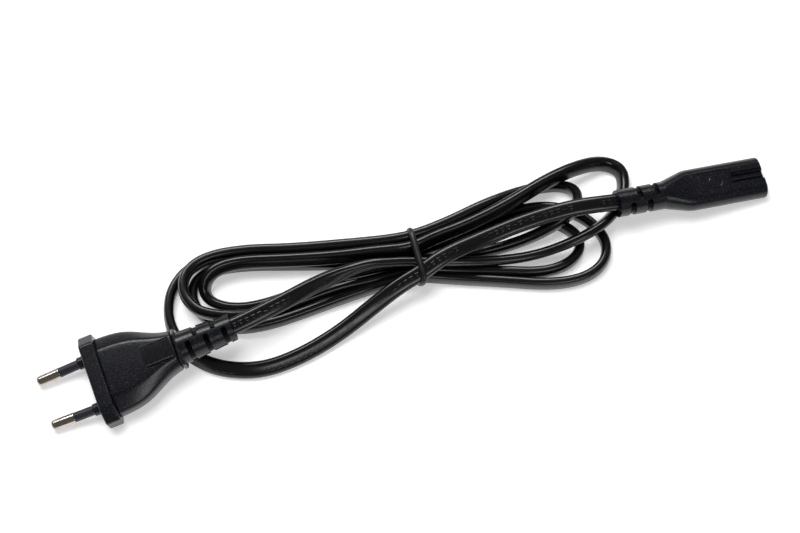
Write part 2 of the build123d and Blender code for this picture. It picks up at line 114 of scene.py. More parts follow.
def rounded(angle: float, power: float) -> tuple[float, float]:
    """A point at an angle on a rounded square of half width 1, where a power of 1 makes a circle."""
    wide, high = math.cos(angle), math.sin(angle)
    return math.copysign(abs(wide) ** power, wide), math.copysign(abs(high) ** power, high)


def new_group(
    name: str, inputs: dict[str, tuple[str, object]], outputs: dict[str, str]
) -> bpy.types.ShaderNodeTree:
    """Make an empty shader node group with named sockets.

    Args:
        name: the group's name.
        inputs: socket name to its type and default.
        outputs: socket name to its type.

    Returns:
        The node group, with its input and output nodes named "in" and "out".
    """
    group = bpy.data.node_groups.new(name, "ShaderNodeTree")
    for key, (kind, default) in inputs.items():
        socket = group.interface.new_socket(name=key, in_out="INPUT", socket_type=kind)
        if default is not None:
            socket.default_value = default
    for key, kind in outputs.items():
        group.interface.new_socket(name=key, in_out="OUTPUT", socket_type=kind)
    group.nodes.new("NodeGroupInput").name = "in"
    group.nodes.new("NodeGroupOutput").name = "out"
    return group


@dataclass
class NodeWriter:
    """Adds nodes to one tree and links them in one call each."""

    tree: bpy.types.NodeTree

    def add(self, kind: str, values: dict[str, object] | None = None, **settings: object) -> bpy.types.Node:
        """Add a node.

        Args:
            kind: the node's type name.
            values: input socket name or number to a value or an output socket.
            settings: properties of the node itself.

        Returns:
            The new node.
        """
        node = self.tree.nodes.new(kind)
        for key, value in settings.items():
            setattr(node, key, value)
        for key, value in (values or {}).items():
            socket = node.inputs[key]
            if isinstance(value, bpy.types.NodeSocket):
                self.tree.links.new(value, socket)
            else:
                socket.default_value = value
        return node

    def math(
        self, operation: str, first: object, second: object = 0.0, clamp: bool = False
    ) -> bpy.types.NodeSocket:
        """Add a Math node on two numbers or sockets, and give its output socket."""
        node = self.add("ShaderNodeMath", {0: first, 1: second}, operation=operation, use_clamp=clamp)
        return node.outputs[0]

    def band(self, value: object, low: float, high: float, soft: float) -> bpy.types.NodeSocket:
        """A soft-edged 1 where a value lies between two limits.

        Args:
            value: the socket to test.
            low: lower limit.
            high: upper limit.
            soft: width of each soft edge.

        Returns:
            The output socket, 0 to 1.
        """
        up = self.math("DIVIDE", self.math("SUBTRACT", value, low), soft, clamp=True)
        down = self.math("DIVIDE", self.math("SUBTRACT", high, value), soft, clamp=True)
        return self.math("MULTIPLY", up, down)


def grain_group() -> bpy.types.ShaderNodeTree:
    """Fine moulded grain with slow mottling.

    Returns:
        The group, which gives the height of the grain and the mottling mask.
    """
    mottle_share = 0.06
    group = new_group(
        "moulded_grain",
        {"Vector": ("NodeSocketVector", None), "Scale": ("NodeSocketFloat", 2500.0)},
        {"Height": "NodeSocketFloat", "Mottle": "NodeSocketFloat"},
    )
    pen = NodeWriter(group)
    start = group.nodes["in"]
    vector, scale = start.outputs["Vector"], start.outputs["Scale"]
    fine = pen.add("ShaderNodeTexNoise", {"Vector": vector, "Scale": scale, "Detail": 3.0})
    slow_scale = pen.math("MULTIPLY", scale, mottle_share)
    slow = pen.add("ShaderNodeTexNoise", {"Vector": vector, "Scale": slow_scale, "Detail": 2.0})
    pen.tree.links.new(fine.outputs["Fac"], group.nodes["out"].inputs["Height"])
    pen.tree.links.new(slow.outputs["Fac"], group.nodes["out"].inputs["Mottle"])
    return group


def marks_group() -> bpy.types.ShaderNodeTree:
    """Raised plain marks along the middle of the cord's flat: bars and small frames in rows.

    The group reads the cord's own map: metres along it in X, share of the way round in Y.

    Returns:
        The group, which gives the height of the marks.
    """
    bar, bar_hole, bar_edge = (0.12, 0.82), (0.32, 0.62), 0.08
    tall, tall_hole, tall_edge = (0.205, 0.295), (0.226, 0.274), 0.008
    dash_height, dash_edge = (0.24, 0.26), 0.006
    solid_share, dash_share = 0.35, 0.18
    row_part, row_edge = (0.08, 0.86), 0.004
    group = new_group(
        "raised_marks",
        {
            "UV": ("NodeSocketVector", None),
            "Pitch": ("NodeSocketFloat", 0.0024),
            "Row": ("NodeSocketFloat", 0.046),
        },
        {"Height": "NodeSocketFloat"},
    )
    pen = NodeWriter(group)
    start = group.nodes["in"]
    split = pen.add("ShaderNodeSeparateXYZ", {0: start.outputs["UV"]})
    along, around = split.outputs[0], split.outputs[1]
    row = pen.math("FRACT", pen.math("DIVIDE", along, start.outputs["Row"]))
    cell = pen.math("DIVIDE", along, start.outputs["Pitch"])
    place = pen.math("FRACT", cell)
    number = pen.math("FLOOR", cell)
    chance = pen.add("ShaderNodeTexWhiteNoise", {"W": number}, noise_dimensions="1D").outputs["Value"]
    outer = pen.math("MULTIPLY", pen.band(place, *bar, bar_edge), pen.band(around, *tall, tall_edge))
    inner = pen.math("MULTIPLY", pen.band(place, *bar_hole, bar_edge), pen.band(around, *tall_hole, tall_edge))
    hollow = pen.math("GREATER_THAN", chance, solid_share)
    framed = pen.math("SUBTRACT", outer, pen.math("MULTIPLY", inner, hollow))
    dash = pen.math("MULTIPLY", pen.band(place, *bar, bar_edge), pen.band(around, *dash_height, dash_edge))
    is_dash = pen.math("LESS_THAN", chance, dash_share)
    mixed = pen.add("ShaderNodeMix", {0: is_dash, 2: framed, 3: dash}, data_type="FLOAT").outputs[0]
    shown = pen.math("MULTIPLY", mixed, pen.band(row, *row_part, row_edge))
    pen.tree.links.new(shown, group.nodes["out"].inputs["Height"])
    return group


def painted_glints_and_mottle_group() -> bpy.types.ShaderNodeTree:
    """A base colour with sparse pale specks, which are painted glints, and slow random tone changes.

    Returns:
        The group, which gives the colour.
    """
    speck_scale, speck_part, speck_edge = 2400.0, (0.6, 1.0), 0.06
    shade_change, shade_low = 0.5, 0.75
    group = new_group(
        "painted_glints_and_mottle",
        {
            "Vector": ("NodeSocketVector", None),
            "Color": ("NodeSocketColor", (0.02, 0.02, 0.02, 1.0)),
            "Speck": ("NodeSocketColor", (0.07, 0.075, 0.1, 1.0)),
            "Amount": ("NodeSocketFloat", 0.5),
            "Mottle": ("NodeSocketFloat", 0.5),
        },
        {"Color": "NodeSocketColor"},
    )
    pen = NodeWriter(group)
    start = group.nodes["in"]
    noise = {"Vector": start.outputs["Vector"], "Scale": speck_scale, "Detail": 1.0}
    specks = pen.add("ShaderNodeTexNoise", noise)
    # The pale specks are painted glints of light on the grain.
    sparse = pen.math("MULTIPLY", pen.band(specks.outputs["Fac"], *speck_part, speck_edge), start.outputs["Amount"])
    shade = pen.math("ADD", pen.math("MULTIPLY", start.outputs["Mottle"], shade_change), shade_low)
    tinted = pen.add("ShaderNodeVectorMath", {0: start.outputs["Color"], 3: shade}, operation="SCALE")
    mixed = pen.add(
        "ShaderNodeMix", {0: sparse, 6: tinted.outputs[0], 7: start.outputs["Speck"]}, data_type="RGBA"
    )
    pen.tree.links.new(mixed.outputs[2], group.nodes["out"].inputs["Color"])
    return group


@dataclass
class Effects:
    """The shader groups that the finishes share."""

    grain: bpy.types.ShaderNodeTree = field(default_factory=grain_group)
    marks: bpy.types.ShaderNodeTree = field(default_factory=marks_group)
    specks: bpy.types.ShaderNodeTree = field(default_factory=painted_glints_and_mottle_group)


@dataclass(frozen=True)
class Finish:
    """One surface finish, made into a material with grain, random tone changes and pale specks that are painted
    glints.
    """

    name: str
    color: tuple[float, float, float]
    roughness: float
    grain_scale: float = 2500.0
    grain_depth: float = 0.02
    roughness_change: float = 0.08
    metallic: float = 0.0
    specular: float = 0.5
    painted_glint_amount: float = 0.0
    marks_depth: float = 0.0

    def material(self, effects: Effects) -> bpy.types.Material:
        """Build the material.

        Args:
            effects: the shared shader groups.

        Returns:
            The new material.
        """
        material = bpy.data.materials.new(self.name)
        material.use_nodes = True
        tree = material.node_tree
        tree.nodes.clear()
        pen = NodeWriter(tree)
        coordinates = pen.add("ShaderNodeTexCoord")
        grain = pen.add("ShaderNodeGroup", node_tree=effects.grain)
        tree.links.new(coordinates.outputs["Object"], grain.inputs["Vector"])
        grain.inputs["Scale"].default_value = self.grain_scale
        specks = pen.add("ShaderNodeGroup", node_tree=effects.specks)
        tree.links.new(coordinates.outputs["Object"], specks.inputs["Vector"])
        tree.links.new(grain.outputs["Mottle"], specks.inputs["Mottle"])
        specks.inputs["Color"].default_value = (*self.color, 1.0)
        specks.inputs["Amount"].default_value = self.painted_glint_amount
        low = self.roughness - self.roughness_change
        rough = pen.math(
            "ADD", pen.math("MULTIPLY", grain.outputs["Mottle"], 2 * self.roughness_change), low, clamp=True
        )
        relief = {"Height": grain.outputs["Height"], "Distance": self.grain_depth * MM, "Strength": 1.0}
        normal = pen.add("ShaderNodeBump", relief).outputs["Normal"]
        if self.marks_depth:
            marks = pen.add("ShaderNodeGroup", node_tree=effects.marks)
            tree.links.new(coordinates.outputs["UV"], marks.inputs["UV"])
            relief = {"Height": marks.outputs["Height"], "Distance": self.marks_depth * MM, "Strength": 1.0}
            normal = pen.add("ShaderNodeBump", {**relief, "Normal": normal}).outputs["Normal"]
        shader = pen.add(
            "ShaderNodeBsdfPrincipled",
            {
                "Base Color": specks.outputs["Color"],
                "Roughness": rough,
                "Metallic": self.metallic,
                "Specular IOR Level": self.specular,
                "Normal": normal,
            },
        )
        output = pen.add("ShaderNodeOutputMaterial")
        tree.links.new(shader.outputs["BSDF"], output.inputs["Surface"])
        return material


FINISHES = {
    # The moulded black's pale specks are painted glints on its grain.
    "moulded_black": Finish(
        "moulded_black", (0.0028, 0.003, 0.0052), 0.26, 2300.0, 0.055, 0.04, specular=0.42, painted_glint_amount=0.22
    ),
    # A darker copy of the moulded black for the insides seen through the slots and the bed between the grip ribs:
    # painted shade, as they are the same moulding.
    "painted_shade_black": Finish("painted_shade_black", (0.001, 0.001, 0.0012), 0.35, 1400.0, 0.05, 0.05, specular=0.25),
    "cord_black": Finish("cord_black", (0.0022, 0.0023, 0.0027), 0.25, 900.0, 0.002, 0.03, marks_depth=0.075),
    "sleeve_black": Finish("sleeve_black", (0.011, 0.012, 0.019), 0.42, 1800.0, 0.01, 0.06),
    "nickel": Finish("nickel", (0.5, 0.46, 0.4), 0.22, 260.0, 0.001, 0.04, metallic=1.0),
    "contact_brass": Finish("contact_brass", (0.66, 0.56, 0.36), 0.32, 1500.0, 0.006, 0.08, metallic=1.0),
    "copper": Finish("copper", (0.72, 0.4, 0.25), 0.35, 2500.0, 0.02, 0.08, metallic=1.0),
    "bridge_plastic": Finish("bridge_plastic", (0.62, 0.61, 0.57), 0.5, 1500.0, 0.01, 0.06),
    "insert_black": Finish("insert_black", (0.008, 0.008, 0.009), 0.5, 2400.0, 0.02, 0.06),
    "core_brown": Finish("core_brown", (0.2, 0.09, 0.04), 0.45, 1500.0, 0.01, 0.06),
    "core_blue": Finish("core_blue", (0.04, 0.13, 0.42), 0.45, 1500.0, 0.01, 0.06),
    "band_rubber": Finish("band_rubber", (0.006, 0.006, 0.007), 0.4, 1600.0, 0.01, 0.06),
}


@dataclass
class Palette:
    """The materials, one for each of the record's material slots."""

    effects: Effects = field(default_factory=Effects)
    made: dict[str, bpy.types.Material] = field(default_factory=dict)

    def get(self, slot: str) -> bpy.types.Material:
        """Give a slot's material, built on first use.

        Args:
            slot: the slot's name in the record.

        Returns:
            The material.
        """
        if slot not in self.made:
            self.made[slot] = FINISHES[slot].material(self.effects)
        return self.made[slot]

    def dress_frame(self) -> None:
        """Give every carried-over node its slot's material."""
        for subpart in frame["record"]["subparts"]:
            node = frame["nodes"][subpart["node"]]
            material = self.get(subpart["material_slot"])
            node.data.materials.clear()
            node.data.materials.append(material)


@dataclass
class Cord:
    """The flat twin cord from the plug's strain relief, through the hank, to the connector."""

    width: float = CORD_WIDTH
    thickness: float = CORD_THICKNESS
    length: float = 1.55
    samples: int = 10
    section_points: int = 36
    squareness: float = 2.65
    easing_rounds: int = 3

    def stretches(self) -> list[tuple[Side, list[Point]]]:
        """The route in order, in millimetres, each stretch named after the end that it goes round.

        Returns:
            The stretches, each with the way up that the cord has on it.
        """
        plug_lead = [
            (-82.9, -6.8, 13.2), (-66.1, -6.5, 16.1), (-48.5, -4.0, 16.8), (-31.0, 0.8, 13.2),
        ]
        right_1 = [
            (-14.5, 2.5, 11.2), (-2.5, 0.0, 11.2), (6.0, -2.6, 11.1), (18.5, -6.5, 9.8), (32.5, -9.5, 5.5),
            (47.5, -12.0, 4.4), (62.5, -13.5, 10.2), (75.0, -10.5, 10.0), (83.5, -3.5, 4.4),
            (88.5, 3.6, 3.1), (90.0, 10.2, 3.1), (85.0, 14.8, 3.6), (76.0, 14.8, 8.0),
            (61.5, 12.5, 10.8), (43.0, 8.0, 9.8), (26.5, 5.6, 9.6), (14.0, 4.8, 10.4),
        ]
        left_3 = [
            (4.5, 3.0, 11.1), (-7.0, 6.2, 10.4), (-22.0, 9.6, 9.4), (-40.0, 14.5, 9.4),
            (-54.5, 19.0, 9.4), (-63.5, 19.8, 9.4), (-69.0, 17.8, 8.2), (-71.3, 14.0, 4.2),
            (-69.5, 9.5, 3.1), (-62.5, 5.0, 3.1), (-53.0, 3.2, 3.1), (-39.5, 3.4, 3.1),
            (-24.5, 4.6, 3.1), (-9.5, 2.8, 3.4),
        ]
        right_2 = [
            (5.0, 0.6, 4.9), (20.0, -2.6, 3.1), (35.0, -4.5, 3.1), (49.0, -5.0, 5.0),
            (60.0, -4.5, 9.8), (67.5, -1.5, 10.2), (70.5, 5.0, 7.0), (68.5, 10.4, 3.6),
            (62.0, 13.3, 3.1), (50.5, 13.6, 5.0), (35.5, 11.3, 9.4), (20.5, 8.8, 9.8),
        ]
        left_2 = [
            (6.5, 7.5, 11.1), (-4.0, 9.4, 10.4), (-19.5, 13.5, 9.6), (-37.0, 18.0, 9.4),
            (-52.5, 23.0, 9.4), (-66.0, 25.0, 9.4), (-75.0, 22.5, 9.4), (-79.0, 15.5, 9.4),
            (-77.5, 8.0, 9.6), (-72.5, 3.0, 9.8), (-63.0, -0.5, 8.5), (-52.0, -1.2, 4.5),
            (-39.5, -0.7, 3.1), (-25.0, 0.2, 3.1), (-11.0, -1.5, 3.4),
        ]
        right_4 = [
            (4.5, -2.9, 4.9), (17.5, -7.4, 3.1), (33.0, -13.0, 3.1), (47.0, -18.5, 3.1),
            (57.0, -19.0, 3.1), (64.0, -15.5, 3.1), (65.5, -9.5, 3.1), (61.5, -3.5, 3.1),
            (55.5, 1.5, 3.1), (45.0, 3.8, 3.1), (31.5, 3.4, 3.1), (19.0, 3.8, 3.3),
        ]
        left_4 = [
            (6.0, 3.7, 4.9), (-7.0, 5.6, 3.3), (-23.0, 9.6, 3.1), (-39.0, 15.0, 3.1),
            (-53.0, 19.8, 3.1), (-64.5, 22.0, 3.1), (-73.0, 20.0, 3.1), (-76.3, 13.5, 3.1),
            (-75.0, 7.0, 3.1), (-71.0, 1.0, 3.1), (-64.0, -3.0, 3.1), (-52.5, -5.0, 3.1),
            (-38.5, -4.8, 3.1), (-23.5, -4.0, 3.1), (-9.5, -4.0, 3.3),
        ]
        right_3 = [
            (4.0, -5.4, 4.9), (16.5, -10.2, 3.1), (33.5, -17.2, 3.1), (49.0, -24.0, 3.1),
            (61.5, -26.0, 3.1), (70.5, -23.0, 3.1), (74.5, -16.0, 3.1), (73.0, -8.0, 3.1),
            (68.0, -0.5, 3.1), (59.0, 5.5, 3.1), (46.0, 7.9, 3.1), (32.0, 7.3, 3.1),
            (18.5, 7.4, 3.3),
        ]
        left_1 = [
            (5.5, 7.0, 4.9), (-8.0, 9.2, 3.3), (-25.0, 14.0, 3.1), (-42.0, 20.5, 3.1),
            (-58.5, 25.8, 3.1), (-72.5, 26.2, 3.1), (-82.0, 20.0, 3.1), (-86.5, 10.5, 3.1),
            (-86.5, 0.5, 3.1),
        ]
        rising = [
            (-82.0, -9.0, 3.1), (-73.0, -16.5, 3.1), (-60.5, -21.0, 3.1), (-46.0, -20.5, 3.1),
            (-30.0, -17.0, 3.8), (-15.0, -12.4, 8.0),
        ]
        connector_lead = [
            (-4.5, -9.4, 11.4), (5.0, -7.6, 12.6), (15.0, -4.6, 14.4), (31.5, -2.0, 11.6),
            (48.0, -1.0, 12.4), (65.5, -2.6, 15.2), (83.0, -5.6, 13.5), (99.0, -7.3, 10.7),
        ]
        return [
            (Side.FLAT, plug_lead),
            (Side.OVER, right_1),
            (Side.OVER, left_3),
            (Side.EDGE, right_2),
            (Side.EDGE, left_2),
            (Side.EDGE, right_4),
            (Side.EDGE, left_4),
            (Side.EDGE, right_3),
            (Side.EDGE, left_1),
            (Side.LEANING, rising),
            (Side.FLAT, connector_lead),
        ]

    def route(self) -> list[Vector]:
        """The route's points in metres."""
        return [Vector(point) * MM for _, points in self.stretches() for point in points]

    def rolls(self) -> list[float]:
        """The cord's turn about its own line at each point of the route, in radians."""
        return [math.radians(side.value) for side, points in self.stretches() for _ in points]

    def smooth_line(self) -> list[Vector]:
        """Follow the NURBS spline that the route's points control.

        Returns:
            Points along it.
        """
        points = self.route()
        curve = bpy.data.curves.new("cord_line", "CURVE")
        curve.dimensions = "3D"
        spline = curve.splines.new("NURBS")
        spline.points.add(len(points) - 1)
        for slot, point in zip(spline.points, points):
            slot.co = (*point, 1.0)
        spline.order_u = 3
        spline.use_endpoint_u = True
        spline.resolution_u = self.samples
        obj = bpy.data.objects.new("cord_line", curve)
        bpy.context.scene.collection.objects.link(obj)
        bpy.context.view_layer.update()
        graph = bpy.context.evaluated_depsgraph_get()
        mesh = bpy.data.meshes.new_from_object(obj.evaluated_get(graph))
        line = [vertex.co.copy() for vertex in mesh.vertices]
        bpy.data.objects.remove(obj)
        bpy.data.curves.remove(curve)
        bpy.data.meshes.remove(mesh)
        return line

    def section(self) -> list[tuple[float, float, float]]:
        """The flat cord's section, as a rounded oblong.

        Returns:
            For each point its place across, its place through and its share of the way round.
        """
        points = []
        for step in range(self.section_points):
            x, z = rounded(2 * math.pi * step / self.section_points, 2 / self.squareness)
            points.append((x * self.width / 2, z * self.thickness / 2))
        lengths = [0.0]
        for (x0, z0), (x1, z1) in zip(points, points[1:] + points[:1]):
            lengths.append(lengths[-1] + math.hypot(x1 - x0, z1 - z0))
        return [(x, z, length / lengths[-1]) for (x, z), length in zip(points, lengths)]

    def roll_at(self, position: float, rolls: list[float]) -> float:
        """The roll at a place along the spline, eased between the route's points.

        Args:
            position: place along the spline in route points.
            rolls: the roll at each route point.

        Returns:
            The roll in radians.
        """
        low = max(0, min(len(rolls) - 2, int(position)))
        share = min(1.0, max(0.0, position - low))
        eased = share * share * (3 - 2 * share)
        return rolls[low] * (1 - eased) + rolls[low + 1] * eased

    def build(self, palette: Palette) -> tuple[bpy.types.Object, list[Vector]]:
        """Make the cord's mesh along its smooth line.

        Args:
            palette: the materials.

        Returns:
            The cord's object and the points that its mesh follows.
        """
        line = self.smooth_line()
        rolls = self.softened_rolls()
        section = self.section()
        spans = len(rolls) - 2
        mesh = bmesh.new()
        layer = mesh.loops.layers.uv.new("along_cord")
        rings: list[list[bmesh.types.BMVert]] = []
        along = [0.0]
        for before, here in zip(line, line[1:]):
            along.append(along[-1] + (here - before).length)
        for index, point in enumerate(line):
            ahead = line[min(index + 1, len(line) - 1)]
            behind = line[max(index - 1, 0)]
            forward = (ahead - behind).normalized()
            across = Vector((0, 0, 1)).cross(forward).normalized()
            up = forward.cross(across)
            position = index / (len(line) - 1) * spans + 0.5
            roll = self.roll_at(position, rolls)
            wide = across * math.cos(roll) + up * math.sin(roll)
            thin = up * math.cos(roll) - across * math.sin(roll)
            rings.append([mesh.verts.new(point + wide * x + thin * z) for x, z, _ in section])
        for index, (near, far) in enumerate(zip(rings, rings[1:])):
            self.skin(mesh, layer, near, far, along[index : index + 2], section)
        mesh.faces.new(rings[0])
        mesh.faces.new(list(reversed(rings[-1])))
        return smooth_object("cord", mesh, palette.get("cord_black")), line

    def softened_rolls(self) -> list[float]:
        """Spread each change of roll over the points beside it.

        Returns:
            The roll at each point of the route, in radians.
        """
        rolls = self.rolls()
        for _ in range(self.easing_rounds):
            padded = [rolls[0]] + rolls + [rolls[-1]]
            rolls = [(a + 2 * b + c) / 4 for a, b, c in zip(padded, padded[1:], padded[2:])]
        return rolls

    def skin(
        self,
        mesh: bmesh.types.BMesh,
        layer: bmesh.types.BMLayerItem,
        near: list[bmesh.types.BMVert],
        far: list[bmesh.types.BMVert],
        along: list[float],
        section: list[tuple[float, float, float]],
    ) -> None:
        """Join two rings of the cord with faces, and map them.

        Args:
            mesh: the mesh being made.
            layer: its UV layer.
            near: the ring nearer the plug.
            far: the next ring.
            along: metres along the cord of the two rings.
            section: the section's points with their share of the way round.
        """
        count = len(section)
        for k in range(count):
            after = (k + 1) % count
            face = mesh.faces.new((near[k], near[after], far[after], far[k]))
            share, share_after = section[k][2], section[after][2]
            if share_after < share - 0.5:
                share_after += 1.0
            places = ((along[0], share), (along[0], share_after), (along[1], share_after), (along[1], share))
            for loop, place in zip(face.loops, places):
                loop[layer].uv = place

    def declare(self, cord: bpy.types.Object) -> None:
        """Attach the cord to the root body and hide the model's cord parts that it stands in for.

        Args:
            cord: the cord's object.
        """
        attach(cord, ROOT)
        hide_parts("cord_plug_lead", "cord_hank", "cord_connector_lead")


@dataclass
class Workpiece:
    """One mesh under the tools: picking and shaping with edit mode operators."""

    obj: bpy.types.Object

    @classmethod
    def bar(
        cls, name: str, start_x: float, length: float, radius: float, sides: int, spin: float = 0.0
    ) -> "Workpiece":
        """Start from a bar along X.

        Args:
            name: the piece's name.
            start_x: where its near end lies.
            length: its length.
            radius: its radius to the corners.
            sides: how many sides it has.
            spin: turn about X, in degrees.

        Returns:
            The piece with its place in its mesh.
        """
        deselect_all()
        bpy.ops.mesh.primitive_cylinder_add(vertices=sides, radius=radius, depth=length)
        obj = bpy.context.active_object
        obj.name = name
        piece = cls(obj)
        middle = Matrix.Translation((start_x + length / 2, 0, 0))
        laid_down = Matrix.Rotation(math.radians(90), 4, "Y")
        piece.place(middle @ laid_down @ Matrix.Rotation(math.radians(spin), 4, "Z"))
        return piece

    @classmethod
    def block(cls, name: str, middle: Point, size: Point) -> "Workpiece":
        """Start from a block.

        Args:
            name: the piece's name.
            middle: its middle.
            size: its size along each axis.

        Returns:
            The piece with its place in its mesh.
        """
        deselect_all()
        bpy.ops.mesh.primitive_cube_add(size=1.0)
        obj = bpy.context.active_object
        obj.name = name
        piece = cls(obj)
        piece.place(Matrix.Translation(middle) @ Matrix.Diagonal((*size, 1.0)))
        return piece

    def place(self, matrix: Matrix) -> None:
        """Move the piece and keep the place in its mesh.

        Args:
            matrix: where it goes.
        """
        make_active(self.obj)
        self.obj.matrix_world = matrix
        bpy.ops.object.transform_apply(location=True, rotation=True, scale=True)

    def pick(self, test: Test, kind: str = "VERT") -> None:
        """Select by place, in edit mode.

        Args:
            test: given a vertex's place, or an edge's or face's middle, says whether to take it.
            kind: VERT, EDGE or FACE.
        """
        make_active(self.obj)
        bpy.ops.object.mode_set(mode="EDIT")
        bpy.ops.mesh.select_mode(type=kind)
        bpy.ops.mesh.select_all(action="DESELECT")
        mesh = bmesh.from_edit_mesh(self.obj.data)
        if kind == "VERT":
            for vertex in mesh.verts:
                vertex.select = test(vertex.co)
        elif kind == "EDGE":
            for edge in mesh.edges:
                edge.select = test((edge.verts[0].co + edge.verts[1].co) / 2)
        else:
            for face in mesh.faces:
                face.select = test(face.calc_center_median())
        mesh.select_flush_mode()
        bmesh.update_edit_mesh(self.obj.data)

    def done(self) -> None:
        """Leave edit mode."""
        bpy.ops.object.mode_set(mode="OBJECT")

    def slide(self, test: Test, move: Point) -> None:
        """Move the vertices that pass a test.

        Args:
            test: says whether to take a vertex.
            move: how far along each axis.
        """
        self.pick(test)
        bpy.ops.transform.translate(value=move)
        self.done()

    def stretch(self, test: Test, factor: Point, center: Point) -> None:
        """Resize the vertices that pass a test.

        Args:
            test: says whether to take a vertex.
            factor: the factor along each axis.
            center: the point that stays.
        """
        self.pick(test)
        bpy.ops.transform.resize(value=factor, center_override=center)
        self.done()

    def draw_out(self, end_x: float, stations: list[tuple[float, float, float]]) -> None:
        """Extrude the end face along X through stations.

        Args:
            end_x: where the end face lies.
            stations: each next X, and the factors across Y and Z on the section before.
        """
        self.pick(lambda co: abs(co.x - end_x) < SPECK, "FACE")
        place = end_x
        for x, wide, thin in stations:
            bpy.ops.mesh.extrude_region_move(TRANSFORM_OT_translate={"value": (x - place, 0, 0)})
            bpy.ops.transform.resize(value=(1, wide, thin), center_override=(x, 0, 0))
            place = x
        self.done()

    def bevel(self, test: Test, width: float, segments: int) -> None:
        """Round some edges.

        Args:
            test: says from an edge's middle whether to take it.
            width: width of the bevel.
            segments: how many steps it has.
        """
        self.pick(test, "EDGE")
        bpy.ops.mesh.bevel(offset=width, segments=segments, affect="EDGES")
        self.done()

    def cut(self, tools: list["Workpiece"]) -> None:
        """Take other pieces out of this one, and drop them.

        Args:
            tools: the pieces to take out.
        """
        for tool in tools:
            make_active(self.obj)
            modifier = self.obj.modifiers.new("cut", "BOOLEAN")
            modifier.operation = "DIFFERENCE"
            modifier.solver = "EXACT"
            modifier.object = tool.obj
            bpy.ops.object.modifier_apply(modifier=modifier.name)
            bpy.data.objects.remove(tool.obj)

    def merge(self, others: list["Workpiece"]) -> None:
        """Join other pieces into this one's mesh.

        Args:
            others: the pieces to join.
        """
        deselect_all()
        for other in others:
            other.obj.select_set(True)
        self.obj.select_set(True)
        bpy.context.view_layer.objects.active = self.obj
        bpy.ops.object.join()

    def modify(self, kind: str, **settings: object) -> None:
        """Add a modifier and apply it.

        Args:
            kind: the modifier's type.
            settings: its properties.
        """
        make_active(self.obj)
        modifier = self.obj.modifiers.new(kind.lower(), kind)
        for key, value in settings.items():
            setattr(modifier, key, value)
        bpy.ops.object.modifier_apply(modifier=modifier.name)

    def soften(self, width: float, angle: float = 35.0, segments: int = 2) -> None:
        """Round every edge sharper than an angle."""
        limit = math.radians(angle)
        self.modify("BEVEL", width=width, segments=segments, limit_method="ANGLE", angle_limit=limit)

    def finish(self, material: bpy.types.Material, matrix: Matrix, angle: float = 40.0) -> bpy.types.Object:
        """Shade smooth, put in place and dress the piece.

        Args:
            material: its material.
            matrix: where it goes in the row frame.
            angle: edges sharper than this stay sharp.

        Returns:
            The finished object.
        """
        self.place(matrix)
        make_active(self.obj)
        bpy.ops.object.mode_set(mode="EDIT")
        bpy.ops.mesh.select_all(action="SELECT")
        bpy.ops.mesh.normals_make_consistent(inside=False)
        bpy.ops.object.mode_set(mode="OBJECT")
        bpy.ops.object.shade_smooth_by_angle(angle=math.radians(angle))
        self.modify("WEIGHTED_NORMAL", keep_sharp=True)
        self.obj.data.materials.clear()
        self.obj.data.materials.append(material)
        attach(self.obj, ROOT)
        return self.obj


def laid(x: float, y: float, half_height: float, turn: float, tilt: float) -> Matrix:
    """How a moulding lies: its front's lower edge on the table and its tail raised.

    Args:
        x: the front face's middle along the row.
        y: the front face's middle across the row.
        half_height: half the front's height.
        turn: turn on the table, in degrees.
        tilt: how far the tail is raised, in degrees.

    Returns:
        The matrix from the moulding's own frame to the row's.
    """
    height = half_height * math.cos(math.radians(tilt))
    turned = Matrix.Rotation(math.radians(turn), 4, "Z") @ Matrix.Rotation(math.radians(-tilt), 4, "Y")
    return Matrix.Translation((x, y, height)) @ turned


